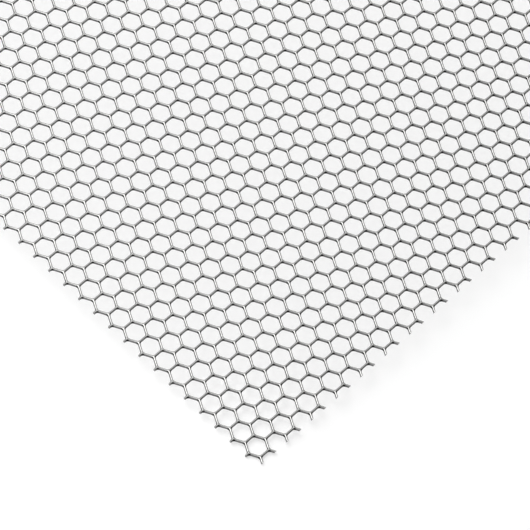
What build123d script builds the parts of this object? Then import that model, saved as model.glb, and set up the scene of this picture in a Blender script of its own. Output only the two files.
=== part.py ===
from build123d import *
import os
from math import ceil, radians, sin

# Perforated metal sheet: six-sided holes in staggered rows, sheared to size from a larger sheet.
# The rows of holes run along X. Each hole has a flat facing +X and a point facing +Y.

# --- driving dimensions, mm ---
sheet_length = 200.0  # X, along the rows of holes
sheet_width = 200.0  # Y, across the rows
sheet_thickness = 1.0  # Z
hole_across_flats = 6.0
web_width = 0.7  # metal left between two neighbouring holes
right_margin = 5.2  # from the last whole hole of a row, at its centre, to the right-hand edge
front_margin = 5.2  # from the hole centres of the first whole row to the front edge

# --- the staggered pattern ---
pitch = hole_across_flats + web_width
row_spacing = pitch * sin(radians(60))
row_pair = 2 * row_spacing  # two rows on, the holes are in line again

# It starts one hole and two rows outside the front right-hand corner and ends past the far
# edges, so that the sheared edges run through holes and leave the cut webs as stubs.
first_hole_x = sheet_length / 2 - right_margin + pitch
first_hole_y = -sheet_width / 2 + front_margin - row_pair
row_count = ceil((sheet_width + row_pair) / row_spacing) + 1
holes_per_row = ceil((sheet_length + pitch) / pitch) + 1

with BuildSketch() as perforated_outline:
    Rectangle(sheet_length, sheet_width)
    # A quarter turn lays the rows of the array, which come out along Y, along X.
    with Locations(Location((first_hole_x, first_hole_y), 90)):
        with HexLocations(pitch / 2, row_count, holes_per_row, align=(Align.MIN, Align.MIN)):
            RegularPolygon(hole_across_flats / 2, 6, major_radius=False, mode=Mode.SUBTRACT)

with BuildPart() as perforated_sheet:
    # The largest face is the sheet. A crumb of web cut free at a corner falls away in the shear.
    # Nothing in it needs merging, so the slow clean is left out.
    sheet_face = perforated_outline.faces().sort_by(SortBy.AREA)[-1]
    extrude(sheet_face, amount=sheet_thickness, clean=False)

perforated_sheet.part.label = "perforated_sheet"

os.makedirs("parts", exist_ok=True)
export_step(perforated_sheet.part, "parts/perforated_sheet.step", write_pcurves=False)
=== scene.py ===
import logging
import math
from dataclasses import dataclass, field
from enum import IntEnum

import bmesh
import bpy
import numpy as np
from mathutils import Matrix, Vector


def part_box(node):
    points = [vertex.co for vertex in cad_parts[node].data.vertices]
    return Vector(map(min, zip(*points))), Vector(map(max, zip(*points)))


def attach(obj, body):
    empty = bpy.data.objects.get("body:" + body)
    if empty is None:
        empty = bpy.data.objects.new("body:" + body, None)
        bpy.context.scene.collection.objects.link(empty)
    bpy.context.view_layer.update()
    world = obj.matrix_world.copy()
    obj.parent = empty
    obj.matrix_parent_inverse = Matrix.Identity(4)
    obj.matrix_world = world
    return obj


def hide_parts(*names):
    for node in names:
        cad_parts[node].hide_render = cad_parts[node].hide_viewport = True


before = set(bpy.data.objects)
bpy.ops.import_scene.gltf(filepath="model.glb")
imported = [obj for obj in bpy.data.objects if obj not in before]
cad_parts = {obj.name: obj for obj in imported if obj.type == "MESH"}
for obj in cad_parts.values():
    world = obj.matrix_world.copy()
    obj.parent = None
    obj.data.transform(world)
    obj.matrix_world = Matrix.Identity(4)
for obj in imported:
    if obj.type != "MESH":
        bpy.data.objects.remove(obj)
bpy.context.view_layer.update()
SHEET_NODE = "perforated_sheet"
MM = 0.001
# How deep a point lies in a hole's corner, by which the finishes paint shade into the corners.
CORNER_DEPTH = "in_corner"
FELT_TONE = "tone"
WHITE = (1.0, 1.0, 1.0, 1.0)
# A hole's six corners, as turns from +X, and half the turn that one of its sides takes up.
HEXAGON_TURNS = np.radians(90 + 60 * np.arange(6))
HALF_SIDE_DEG = 30
log = logging.getLogger("perforated_sheet")


def srgb(hex_code: str) -> tuple[float, float, float, float]:
    """Turn an sRGB hex colour to linear RGBA.

    A channel up to 0.04045 is divided by 12.92. A lighter one has 0.055 added, is divided by
    1.055 and raised to the power of 2.4.

    Args:
        hex_code: The colour as "#RRGGBB".

    Returns:
        Linear red, green and blue with an alpha of 1.
    """
    parts = [int(hex_code[i : i + 2], 16) / 255 for i in (1, 3, 5)]
    linear = [c / 12.92 if c <= 0.04045 else ((c + 0.055) / 1.055) ** 2.4 for c in parts]
    return (*linear, 1.0)


def add_node(
    tree: bpy.types.NodeTree,
    kind: str,
    settings: dict[str, object] | None = None,
    inputs: dict[str | int, object] | None = None,
) -> bpy.types.Node:
    """Add one node with its settings, and its inputs set or linked.

    Args:
        tree: The node tree that gets the node.
        kind: The node's type, such as "ShaderNodeTexNoise".
        settings: Properties of the node by name.
        inputs: Values by input name or number. An output socket is linked instead.

    Returns:
        The new node.
    """
    node = tree.nodes.new(kind)
    for name, value in (settings or {}).items():
        setattr(node, name, value)
    for key, value in (inputs or {}).items():
        if isinstance(value, bpy.types.NodeSocket):
            tree.links.new(value, node.inputs[key])
        else:
            node.inputs[key].default_value = value
    return node


def direction(azimuth_deg: float, elevation_deg: float) -> Vector:
    """Give a direction as seen from the sheet.

    X is the azimuth's sine and -Y its cosine, each times the elevation's cosine, and Z is the
    elevation's sine.

    Args:
        azimuth_deg: 0 is the front (-Y), 90 the right (+X), -90 the left.
        elevation_deg: The angle above the floor, -90 for straight down.

    Returns:
        A unit vector.
    """
    turn, rise = math.radians(azimuth_deg), math.radians(elevation_deg)
    return Vector((math.sin(turn) * math.cos(rise), -math.cos(turn) * math.cos(rise), math.sin(rise)))


class Zone(IntEnum):
    """The zones of the sheet's surface, each with a finish of its own."""

    FACE = 0
    ROLLED_EDGE = 1
    PUNCHED_WALL = 2
    SHEARED_EDGE = 3


@dataclass(frozen=True)
class SteelFinish:
    """How one zone of the bare stainless steel looks.

    The colour swings between the dull and the clear one with the grain and the slow clouds.
    The corner's colour is painted shade: it takes over towards a hole's corners, and is full
    from a depth of the corner reach on. The grain's size is its length along X, Y and Z.
    """

    name: str
    colour: str
    dull_colour: str
    corner_shade_colour: str
    roughness: float
    grain_mm: tuple[float, float, float]
    grain_depth_mm: float
    cloud_mm: float = 9.0
    roughness_spread: float = 0.06
    corner_shade_reach: float = 0.15

    def material(self) -> bpy.types.Material:
        """Build the finish as a material.

        A stretched noise gives the grain of rolling or punching, and a wider one gives slow
        clouds of tone. Both read Object coordinates, divided by the pattern's size. The tone is
        grain times clouds, and the roughness and the relief follow the grain alone.

        Returns:
            The new material.
        """
        steel = bpy.data.materials.new(self.name)
        steel.use_nodes = True
        tree = steel.node_tree
        tree.nodes.clear()
        place = add_node(tree, "ShaderNodeTexCoord").outputs["Object"]
        grain_scale = [1 / (size * MM) for size in self.grain_mm]
        stretched = add_node(
            tree, "ShaderNodeMapping", inputs={"Vector": place, "Scale": grain_scale}
        ).outputs["Vector"]
        grain = add_node(
            tree,
            "ShaderNodeTexNoise",
            inputs={"Vector": stretched, "Scale": 1.0, "Detail": 3.0, "Roughness": 0.6},
        ).outputs["Fac"]
        clouds = add_node(
            tree,
            "ShaderNodeTexNoise",
            inputs={"Vector": place, "Scale": 1 / (self.cloud_mm * MM), "Detail": 2.0},
        ).outputs["Fac"]
        tone = add_node(
            tree, "ShaderNodeMath", {"operation": "MULTIPLY"}, {0: grain, 1: clouds}
        ).outputs[0]
        # The product of the two noises mostly lies between 0.1 and 0.4.
        spread = add_node(
            tree, "ShaderNodeMapRange", inputs={"Value": tone, "From Min": 0.1, "From Max": 0.4}
        ).outputs[0]
        colour = add_node(
            tree,
            "ShaderNodeMix",
            {"data_type": "RGBA"},
            {0: spread, 6: srgb(self.dull_colour), 7: srgb(self.colour)},
        ).outputs[2]
        # Painted shade: the corner colour darkens the steel towards the holes' corners.
        depth = add_node(tree, "ShaderNodeAttribute", {"attribute_name": CORNER_DEPTH}).outputs["Fac"]
        corner = add_node(
            tree, "ShaderNodeMapRange", inputs={"Value": depth, "From Max": self.corner_shade_reach}
        ).outputs[0]
        colour = add_node(
            tree,
            "ShaderNodeMix",
            {"data_type": "RGBA"},
            {0: corner, 6: colour, 7: srgb(self.corner_shade_colour)},
        ).outputs[2]
        rough = add_node(
            tree,
            "ShaderNodeMapRange",
            inputs={
                "Value": grain,
                "To Min": self.roughness - self.roughness_spread,
                "To Max": self.roughness + self.roughness_spread,
            },
        ).outputs[0]
        relief = add_node(
            tree,
            "ShaderNodeBump",
            inputs={"Height": grain, "Distance": self.grain_depth_mm * MM, "Strength": 1.0},
        ).outputs["Normal"]
        shader = add_node(
            tree,
            "ShaderNodeBsdfPrincipled",
            inputs={
                "Base Color": colour,
                "Roughness": rough,
                "Metallic": 1.0,
                "Normal": relief,
            },
        ).outputs["BSDF"]
        add_node(tree, "ShaderNodeOutputMaterial", inputs={"Surface": shader})
        return steel


# The grain of real mill steel is under 0.02 mm wide, too fine to show, so each grain here is
# drawn as coarse as it needs to be seen from close by.
FINISHES: dict[Zone, SteelFinish] = {
    # Cold-rolled mill face of stainless steel: a bright soft grey with a faint grain along X.
    Zone.FACE: SteelFinish(
        name="stainless_mill_face",
        colour="#D0D0CE",
        dull_colour="#C4C4C3",
        corner_shade_colour="#C4C4C3",
        roughness=0.20,
        grain_mm=(1.6, 0.06, 0.06),
        grain_depth_mm=0.002,
    ),
    # Roll-over that the punch drags down: smooth, a little darker than the face, and painted
    # nearly black as shade where it turns down into a corner of the hole.
    Zone.ROLLED_EDGE: SteelFinish(
        name="stainless_rolled_edge",
        colour="#B8B8B6",
        dull_colour="#A8A8A8",
        corner_shade_colour="#0C0C0C",
        roughness=0.18,
        grain_mm=(0.3, 0.3, 0.3),
        grain_depth_mm=0.001,
    ),
    # Wall of the hole: torn and scored by the punch, dull, with upright streaks. Its dark tone is
    # partly the torn steel's own and partly painted shade, and its corners are painted near
    # black as shade.
    Zone.PUNCHED_WALL: SteelFinish(
        name="stainless_punched_wall",
        colour="#747474",
        dull_colour="#525252",
        corner_shade_colour="#060606",
        roughness=0.42,
        grain_mm=(0.08, 0.08, 0.9),
        grain_depth_mm=0.006,
    ),
    # Sheared outer edge: torn like the walls, with the marks of the blade.
    Zone.SHEARED_EDGE: SteelFinish(
        name="stainless_sheared_edge",
        colour="#A8A8A7",
        dull_colour="#787878",
        corner_shade_colour="#787878",
        roughness=0.45,
        grain_mm=(0.12, 0.12, 0.8),
        grain_depth_mm=0.008,
    ),
}


@dataclass(frozen=True)
class SectionRing:
    """One ring of the section of the metal round a hole.

    It lies outward of the hole's mean wall, or inside the hole where that is negative. The
    corner depth says how far its corner points count as lying in a corner of the hole, and so
    how much painted corner shade they get.
    """

    outward: float
    height: float
    corner_depth: float
    zone_above: Zone


@dataclass
class PerforatedSheet:
    """The sheet: six-sided holes in staggered rows, cut off straight on four sides.

    The margins run from the last whole holes' centres to the right and front edges. The wall
    leans by wall_lean to each side of its mean place. A hole's corner that comes closer to the
    back cut than the thinnest metal breaks out through it. Points closer than the weld are one.
    """

    low: np.ndarray
    high: np.ndarray
    hole_across_flats: float = 6.0 * MM
    web_width: float = 0.7 * MM
    right_margin: float = 5.2 * MM
    front_margin: float = 5.2 * MM
    corner_radius: float = 0.9 * MM
    wall_lean: float = 0.06 * MM
    roll_depth: float = 0.35 * MM
    # The rings along the roll: the turn in degrees, the depth in a corner (how much painted corner
    # shade), the zone above.
    roll: tuple[tuple[float, float, Zone], ...] = (
        # The roll's lowest strip takes the wall's dark finish as painted shade.
        (0.0, 1.0, Zone.PUNCHED_WALL),
        (35.0, 1.0, Zone.ROLLED_EDGE),
        (65.0, 0.3, Zone.FACE),
    )
    spare_holes: int = 2
    thinnest: float = 0.1 * MM
    weld: float = 0.001 * MM
    sharp_angle_deg: float = 50.0
    pitch: float = field(init=False)
    row_spacing: float = field(init=False)

    def __post_init__(self) -> None:
        """Work out the spacings.

        The pitch is one hole plus one web, and the rows lie one pitch times the sine of 60
        degrees apart.
        """
        self.pitch = self.hole_across_flats + self.web_width
        self.row_spacing = self.pitch * math.sin(math.radians(60))

    def section(self) -> list[SectionRing]:
        """Work out the section of the metal round a hole, from the underside to the top.

        The wall leans: the hole is wider where the punch came out, on the underside. Above the
        wall the punch has dragged the edge down into a quarter of an ellipse. At a turn t along
        it, the surface lies (1 - cos t) of the way from the wall to the middle of the web, and
        (1 - sin t) of the roll's depth below the top.

        Returns:
            The rings in order, without the two borders of the cell.
        """
        to_middle = self.web_width / 2 + self.wall_lean
        rings = [SectionRing(self.wall_lean, self.low[2], 1.0, Zone.PUNCHED_WALL)]
        for turn_deg, corner_depth, zone_above in self.roll:
            turn = math.radians(turn_deg)
            outward = to_middle * (1 - math.cos(turn)) - self.wall_lean
            height = self.high[2] - self.roll_depth * (1 - math.sin(turn))
            rings.append(SectionRing(outward, height, corner_depth, zone_above))
        return rings

    def hole_centres(self) -> np.ndarray:
        """Give the centres of all the holes that reach the sheet, and some spare ones round it.

        Row j lies j row spacings behind the first whole row, and hole k of it lies k pitches to
        the left of the last whole hole. Every other row is moved half a pitch to the left.

        Returns:
            An array of (x, y), one row for each hole.
        """
        last_x = self.high[0] - self.right_margin
        first_y = self.low[1] + self.front_margin
        row_count = math.ceil((self.high[1] - first_y) / self.row_spacing)
        column_count = math.ceil((last_x - self.low[0]) / self.pitch)
        rows = np.arange(-self.spare_holes, row_count + self.spare_holes)
        columns = np.arange(-self.spare_holes, column_count + self.spare_holes)
        j, k = np.meshgrid(rows, columns, indexing="ij")
        x = last_x - (k + 0.5 * (j % 2)) * self.pitch
        y = first_y + j * self.row_spacing
        return np.column_stack([x.ravel(), y.ravel()])

    def ring(self, outward: float) -> np.ndarray:
        """Give one closed ring round a hole at the origin.

        The ring is a hexagon with rounded corners, with three points on each corner's arc. The
        arcs' centres lie towards the corners, at (half the hole's width - the corner radius) /
        cos 30 degrees from the hole's centre. The arcs' radius is the corner radius + outward,
        and they turn 30 degrees to either side.

        Args:
            outward: Distance from the hole's mean wall to the ring, away from the hole.

        Returns:
            An array of 18 (x, y).
        """
        corner = HEXAGON_TURNS[:, None]
        turn = corner + np.radians([-HALF_SIDE_DEG, 0, HALF_SIDE_DEG])[None, :]
        to_flat = self.hole_across_flats / 2 - self.corner_radius
        reach = to_flat / math.cos(math.radians(HALF_SIDE_DEG))
        radius = self.corner_radius + outward
        x = reach * np.cos(corner) + radius * np.cos(turn)
        y = reach * np.sin(corner) + radius * np.sin(turn)
        return np.column_stack([x.ravel(), y.ravel()])

    def cell_border(self) -> np.ndarray:
        """Give the ring where this hole's metal meets its six neighbours'.

        It is a sharp hexagon through the middle of the webs, with its corners at half a pitch
        / cos 30 degrees. Its points match the ones of ring(), and the neighbours' points fall
        on the same places.

        Returns:
            An array of 18 (x, y).
        """
        border = self.ring(self.web_width / 2)
        reach = self.pitch / 2 / math.cos(math.radians(HALF_SIDE_DEG))
        border[1::3] = reach * np.column_stack([np.cos(HEXAGON_TURNS), np.sin(HEXAGON_TURNS)])
        return border

    def one_cell(self) -> tuple[np.ndarray, np.ndarray, np.ndarray]:
        """Work out the metal round one hole at the origin, ring by ring.

        It has its cell border on the underside, the rings of its section, and its cell border
        on top. Of the three points on each corner's arc, the middle one lies in the corner.

        Returns:
            The rings' points, how deep each of them lies in a corner of the hole, and the zone
            above each ring but the last.
        """
        border, section = self.cell_border(), self.section()
        outlines = [border, *(self.ring(ring.outward) for ring in section), border]
        heights = [self.low[2], *(ring.height for ring in section), self.high[2]]
        depths = [0.0, *(ring.corner_depth for ring in section), 0.0]
        rings = np.stack([np.column_stack([r, np.full(len(r), z)]) for r, z in zip(outlines, heights)])
        in_corner = np.outer(depths, np.tile([0.0, 1.0, 0.0], len(HEXAGON_TURNS)))
        zone_above = np.array([Zone.FACE, *(ring.zone_above for ring in section)])
        return rings, in_corner, zone_above

    def staying(self, corners: np.ndarray, centres: np.ndarray) -> np.ndarray:
        """Tell which faces stay on the sheet.

        The shear frees one crumb of web at the back right-hand corner, past the middle of the
        last hole there both ways, and it falls away.

        Args:
            corners: The four corners of each face.
            centres: The holes' centres.

        Returns:
            True for each face that stays.
        """
        reached = centres[(centres < self.high[:2]).all(axis=1)]
        last_hole = reached[reached.sum(axis=1).argmax()]
        return (corners[..., :2].mean(axis=1) < last_hole).any(axis=1)

    def cells(self) -> tuple[np.ndarray, np.ndarray, np.ndarray, np.ndarray]:
        """Work out the whole pattern as one net of four-sided faces.

        A point is its place in one cell plus the hole's centre. Faces join each ring to the
        next, and points of neighbouring cells that fall together become one.

        Returns:
            Vertices, faces, each face's zone and how deep each vertex lies in a hole's corner.
        """
        rings, in_corner, zone_above = self.one_cell()
        centres = self.hole_centres()
        moved = np.column_stack([centres, np.zeros(len(centres))])
        points = rings[None] + moved[:, None, None, :]
        to_back = self.high[1] - points[..., 1]
        broken = (in_corner > 0) & (to_back > 0) & (to_back < self.thinnest)
        points[..., 1][broken] = self.high[1] + self.thinnest
        levels, count = rings.shape[:2]
        index = np.arange(len(centres) * levels * count).reshape(len(centres), levels, count)
        ahead = np.roll(index, -1, axis=2)
        quads = np.stack([index[:, :-1], index[:, 1:], ahead[:, 1:], ahead[:, :-1]], axis=-1)
        zones = np.broadcast_to(zone_above[None, :, None], quads.shape[:3]).ravel()
        depth = np.broadcast_to(in_corner, points.shape[:3]).ravel()
        quads = quads.reshape(-1, 4)
        corners = points.reshape(-1, 3)[quads]
        stays = self.staying(corners, centres)
        corners, used = corners[stays].reshape(-1, 3), quads[stays].ravel()
        # Points that round to the same step of the weld become one, with the first one's depth.
        grid = np.round(corners / self.weld).astype(np.int64)
        _, first, back = np.unique(grid, axis=0, return_index=True, return_inverse=True)
        return corners[first], back.reshape(-1, 4), zones[stays], depth[used][first]

    def shear(self, mesh: bpy.types.Mesh) -> None:
        """Cut the net off along the four sides of the sheet and close the cut webs.

        What lies outside each side's plane goes, and each cut web gets one flat face.

        Args:
            mesh: The net, which is changed.
        """
        sides = [
            (self.low, (-1, 0, 0)),
            (self.high, (1, 0, 0)),
            (self.low, (0, -1, 0)),
            (self.high, (0, 1, 0)),
        ]
        net = bmesh.new()
        net.from_mesh(mesh)
        for point, outward in sides:
            cut = bmesh.ops.bisect_plane(
                net,
                geom=[*net.verts, *net.edges, *net.faces],
                dist=self.weld / 2,
                plane_co=Vector(point),
                plane_no=Vector(outward),
                clear_outer=True,
            )
            rim = [e for e in cut["geom_cut"] if isinstance(e, bmesh.types.BMEdge) and e.is_boundary]
            filled = bmesh.ops.holes_fill(net, edges=rim, sides=0)
            for face in filled["faces"]:
                face.material_index = Zone.SHEARED_EDGE
                face.smooth = False
        bmesh.ops.recalc_face_normals(net, faces=net.faces)
        open_edges = sum(not e.is_manifold for e in net.edges)
        log.info("sheared net: %d faces, %d open edges", len(net.faces), open_edges)
        net.to_mesh(mesh)
        net.free()

    def build(self) -> bpy.types.Object:
        """Make the sheet's mesh, put it in the scene and give it its finishes.

        Returns:
            The finished piece.
        """
        vertices, faces, zones, in_corner = self.cells()
        mesh = bpy.data.meshes.new("perforated_sheet_steel")
        mesh.vertices.add(len(vertices))
        mesh.vertices.foreach_set("co", vertices.ravel())
        mesh.loops.add(faces.size)
        mesh.loops.foreach_set("vertex_index", faces.ravel())
        mesh.polygons.add(len(faces))
        mesh.polygons.foreach_set("loop_start", np.arange(0, faces.size, 4))
        mesh.update(calc_edges=True)
        for zone in Zone:
            mesh.materials.append(FINISHES[zone].material())
        mesh.polygons.foreach_set("material_index", zones.astype(np.int32))
        mesh.polygons.foreach_set("use_smooth", np.ones(len(faces), dtype=bool))
        depth = mesh.attributes.new(CORNER_DEPTH, "FLOAT", "POINT")
        depth.data.foreach_set("value", in_corner.astype(np.float32))
        mesh.validate()
        self.shear(mesh)
        mesh.set_sharp_from_angle(angle=math.radians(self.sharp_angle_deg))
        piece = bpy.data.objects.new(mesh.name, mesh)
        bpy.context.scene.collection.objects.link(piece)
        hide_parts(SHEET_NODE)
        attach(piece, "root")
        log.info("%s: %d faces", piece.name, len(mesh.polygons))
        return piece


@dataclass(frozen=True)
class SoftLight:
    """A soft light: a disc that faces the middle of the sheet, hung in a direction from it.

    Its radius is the angle that it fills as seen from there. The metal shows it only where
    in_metal says so. Otherwise it lights the floor alone.
    """

    name: str
    azimuth_deg: float
    elevation_deg: float
    radius_deg: float
    radiance: float
    in_metal: bool


@dataclass(frozen=True)
class Flag:
    """A dark felt flag that only the metal shows: a cap of a sphere round the sheet.

    The direction is that of its middle. It has one tone up to the core's angle from there, and
    then fades smoothly to white at the rim.
    """

    name: str
    azimuth_deg: float
    elevation_deg: float
    core_deg: float
    rim_deg: float
    tone: float


@dataclass
class Studio:
    """White paper floor, pale surroundings, two soft lights, and two dark flags for the metal.

    The floor reaches floor_reach to each side of the corner where the sheet touches it, and
    turns white as the camera sees it by its own glow on top of what the lights give it.
    """

    touch: Vector
    floor_reach: float = 6.0
    floor_steps: int = 60
    hollow_depth: float = 7.5 * MM
    hollow_reach: float = 36.0 * MM
    floor_lit: float = 0.48
    floor_glow: float = 0.53
    ambient: float = 0.42
    lights: tuple[SoftLight, ...] = (
        SoftLight("softbox", -60.0, 68.0, radius_deg=24.0, radiance=2.0, in_metal=True),
        SoftLight("window", -90.0, 38.0, radius_deg=28.0, radiance=3.0, in_metal=False),
    )
    light_distance: float = 1.5
    flags: tuple[Flag, ...] = (
        Flag("right_flag", 118.0, 25.0, core_deg=49.0, rim_deg=70.0, tone=0.02),
        Flag("low_surround", 0.0, -90.0, core_deg=108.0, rim_deg=125.0, tone=0.35),
    )
    flag_distance: float = 1.2
    flag_rings: int = 36
    flag_sides: int = 64
    flag_pole_deg: float = 0.5

    def put_up(self, mesh: bpy.types.Mesh) -> bpy.types.Object:
        """Link a mesh as a piece of the studio, which isn't part of the sheet.

        Args:
            mesh: The finished mesh.

        Returns:
            Its object.
        """
        piece = bpy.data.objects.new(mesh.name, mesh)
        bpy.context.scene.collection.objects.link(piece)
        log.info("studio: %s, %d faces", piece.name, len(mesh.polygons))
        return piece

    def seen(self, tree: bpy.types.NodeTree) -> bpy.types.NodeSocket:
        """Give 1 for what is seen straight, mirrored or through glass, and 0 for light alone.

        It is the greatest of the three kinds of ray, each 0 or 1.

        Args:
            tree: The node tree that gets the nodes.

        Returns:
            The socket with the number.
        """
        path = add_node(tree, "ShaderNodeLightPath")
        straight = add_node(
            tree,
            "ShaderNodeMath",
            {"operation": "MAXIMUM"},
            {0: path.outputs["Is Camera Ray"], 1: path.outputs["Is Glossy Ray"]},
        ).outputs[0]
        return add_node(
            tree,
            "ShaderNodeMath",
            {"operation": "MAXIMUM"},
            {0: straight, 1: path.outputs["Is Transmission Ray"]},
        ).outputs[0]

    def paper(self) -> bpy.types.Material:
        """Make the floor's white paper: matt, even and without grain, and it keeps shadows.

        Returns:
            The new material.
        """
        material = bpy.data.materials.new("white_paper_floor")
        material.use_nodes = True
        tree = material.node_tree
        tree.nodes.clear()
        strength = add_node(
            tree, "ShaderNodeMath", {"operation": "MULTIPLY"}, {0: self.seen(tree), 1: self.floor_glow}
        ).outputs[0]
        lit = (self.floor_lit,) * 3 + (1.0,)
        matt = add_node(tree, "ShaderNodeBsdfDiffuse", inputs={"Color": lit}).outputs[0]
        glow = add_node(tree, "ShaderNodeEmission", inputs={"Strength": strength}).outputs[0]
        both = add_node(tree, "ShaderNodeAddShader", inputs={0: matt, 1: glow}).outputs[0]
        add_node(tree, "ShaderNodeOutputMaterial", inputs={"Surface": both})
        return material

    def felt(self) -> bpy.types.Material:
        """Make the flags' felt: without gloss, and dark or pale by the tone of each point.

        Returns:
            The new material.
        """
        material = bpy.data.materials.new("feathered_black_felt")
        material.use_nodes = True
        tree = material.node_tree
        tree.nodes.clear()
        shade = add_node(tree, "ShaderNodeAttribute", {"attribute_name": FELT_TONE}).outputs["Fac"]
        glow = add_node(tree, "ShaderNodeEmission", inputs={"Strength": shade}).outputs[0]
        add_node(tree, "ShaderNodeOutputMaterial", inputs={"Surface": glow})
        return material

    def floor(self) -> bpy.types.Object:
        """Lay the paper floor.

        It is level in the quarter in front and to the right of the corner where the sheet
        touches it. To the left of that corner and behind it, it dips into a shallow hollow:
        with t squared the square of the way to the left plus the square of the way back, the
        dip is the depth times t squared / (t squared + reach squared). Its net lies at the
        cubes of even steps, so it is finest at the corner.

        Returns:
            The floor.
        """
        line = self.floor_reach * np.linspace(-1, 1, 2 * self.floor_steps + 1) ** 3
        across, along = np.meshgrid(line, line)
        into = np.clip(-across, 0, None) ** 2 + np.clip(along, 0, None) ** 2
        dip = self.hollow_depth * into / (into + self.hollow_reach**2)
        points = np.stack([self.touch.x + across, self.touch.y + along, self.touch.z - dip], axis=-1)
        index = np.arange(across.size).reshape(across.shape)
        quads = np.stack([index[:-1, :-1], index[:-1, 1:], index[1:, 1:], index[1:, :-1]], axis=-1)
        mesh = bpy.data.meshes.new("floor")
        mesh.from_pydata(points.reshape(-1, 3).tolist(), [], quads.reshape(-1, 4).tolist())
        mesh.shade_smooth()
        mesh.materials.append(self.paper())
        return self.put_up(mesh)

    def hang_flag(self, flag: Flag) -> bpy.types.Object:
        """Hang a flag.

        A point of the cap lies at an angle from its middle and at a turn about the middle: its
        direction is the angle's cosine times the middle plus its sine times the turn's ring.
        With f the way from the core to the rim, the tone rises to 1 by f squared times (3 - 2f).

        Args:
            flag: The flag's place, size and tone.

        Returns:
            Its object.
        """
        aim = direction(flag.azimuth_deg, flag.elevation_deg)
        middle, side = np.array(aim), np.array(aim.orthogonal().normalized())
        up = np.cross(middle, side)
        away_deg = np.linspace(self.flag_pole_deg, flag.rim_deg, self.flag_rings)[:, None]
        away = np.radians(away_deg)
        about = np.linspace(0, 2 * math.pi, self.flag_sides, endpoint=False)[None, :]
        ring = np.cos(about)[..., None] * side + np.sin(about)[..., None] * up
        cap = np.cos(away)[..., None] * middle + np.sin(away)[..., None] * ring
        index = np.arange(cap[..., 0].size).reshape(cap.shape[:2])
        ahead = np.roll(index, -1, axis=1)
        quads = np.stack([index[:-1], index[1:], ahead[1:], ahead[:-1]], axis=-1).reshape(-1, 4)
        mesh = bpy.data.meshes.new(flag.name)
        mesh.from_pydata((cap.reshape(-1, 3) * self.flag_distance).tolist(), [], quads.tolist())
        fade = np.clip((away_deg - flag.core_deg) / (flag.rim_deg - flag.core_deg), 0, 1)
        tone = flag.tone + (1 - flag.tone) * fade * fade * (3 - 2 * fade)
        tone = np.broadcast_to(tone, cap.shape[:2]).ravel().astype(np.float32)
        mesh.attributes.new(FELT_TONE, "FLOAT", "POINT").data.foreach_set("value", tone)
        mesh.materials.append(self.felt())
        hung = self.put_up(mesh)
        hung.visible_camera = False
        hung.visible_diffuse = False
        hung.visible_shadow = False
        return hung

    def hang_light(self, light: SoftLight) -> bpy.types.Object:
        """Hang a soft light.

        Its disc's radius is its distance times the tangent of its angle, and its power is its
        radiance times pi times the area of its disc.

        Args:
            light: The light's place, size and strength.

        Returns:
            Its object.
        """
        radius = self.light_distance * math.tan(math.radians(light.radius_deg))
        lamp = bpy.data.lights.new(light.name, "AREA")
        lamp.shape = "DISK"
        lamp.size = 2 * radius
        lamp.energy = light.radiance * math.pi * math.pi * radius * radius
        towards = direction(light.azimuth_deg, light.elevation_deg)
        hung = bpy.data.objects.new(light.name, lamp)
        hung.location = towards * self.light_distance
        hung.rotation_euler = towards.to_track_quat("Z", "Y").to_euler()
        hung.visible_camera = False
        hung.visible_glossy = light.in_metal
        bpy.context.scene.collection.objects.link(hung)
        log.info("studio: %s, %.2f m across", light.name, lamp.size)
        return hung

    def surroundings(self) -> bpy.types.World:
        """Make the surroundings white to look at, with a plain even light on the sheet.

        Returns:
            The world.
        """
        world = bpy.data.worlds.new("pale_surroundings")
        world.use_nodes = True
        tree = world.node_tree
        tree.nodes.clear()
        strength = add_node(
            tree,
            "ShaderNodeMapRange",
            inputs={"Value": self.seen(tree), "To Min": self.ambient, "To Max": 1.0},
        ).outputs[0]
        light = add_node(tree, "ShaderNodeBackground", inputs={"Color": WHITE, "Strength": strength})
        add_node(tree, "ShaderNodeOutputWorld", inputs={"Surface": light.outputs[0]})
        bpy.context.scene.world = world
        return world

    def build(self) -> None:
        """Put up the whole studio, and show colours plainly."""
        self.floor()
        for flag in self.flags:
            self.hang_flag(flag)
        for light in self.lights:
            self.hang_light(light)
        self.surroundings()
        bpy.context.scene.view_settings.view_transform = "Standard"


@dataclass
class StudioCamera:
    """A long lens that looks down over the front right-hand corner, rolled about its axis."""

    look_at_mm: tuple[float, float, float] = (51.905, -45.755, 0.5)
    azimuth_deg: float = 25.58
    elevation_deg: float = 59.47
    roll_deg: float = 20.49
    distance: float = 1.7762
    focal_mm: float = 378.6
    sensor_mm: float = 36.0
    nearest: float = 0.05
    farthest: float = 50.0

    def build(self) -> bpy.types.Object:
        """Make the camera and give it to the scene.

        It stands at its distance from the point it looks at, turned level first, and then
        rolled about its line of sight.

        Returns:
            The camera.
        """
        back = direction(self.azimuth_deg, self.elevation_deg)
        look_at = Vector([place * MM for place in self.look_at_mm])
        lens = bpy.data.cameras.new("camera")
        lens.lens = self.focal_mm
        lens.sensor_width = self.sensor_mm
        lens.clip_start, lens.clip_end = self.nearest, self.farthest
        camera = bpy.data.objects.new("camera", lens)
        level = back.to_track_quat("Z", "Y").to_matrix().to_4x4()
        rolled = level @ Matrix.Rotation(math.radians(self.roll_deg), 4, "Z")
        camera.matrix_world = Matrix.Translation(look_at + back * self.distance) @ rolled
        bpy.context.scene.collection.objects.link(camera)
        bpy.context.scene.camera = camera
        return camera


def main() -> None:
    """Build the sheet, the studio and the camera in order."""
    logging.basicConfig(level=logging.INFO, format="%(name)s: %(message)s")
    low, high = (np.array(corner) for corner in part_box(SHEET_NODE))
    PerforatedSheet(low, high).build()
    Studio(touch=Vector((high[0], low[1], low[2]))).build()
    StudioCamera().build()


if __name__ == "__main__":
    main()
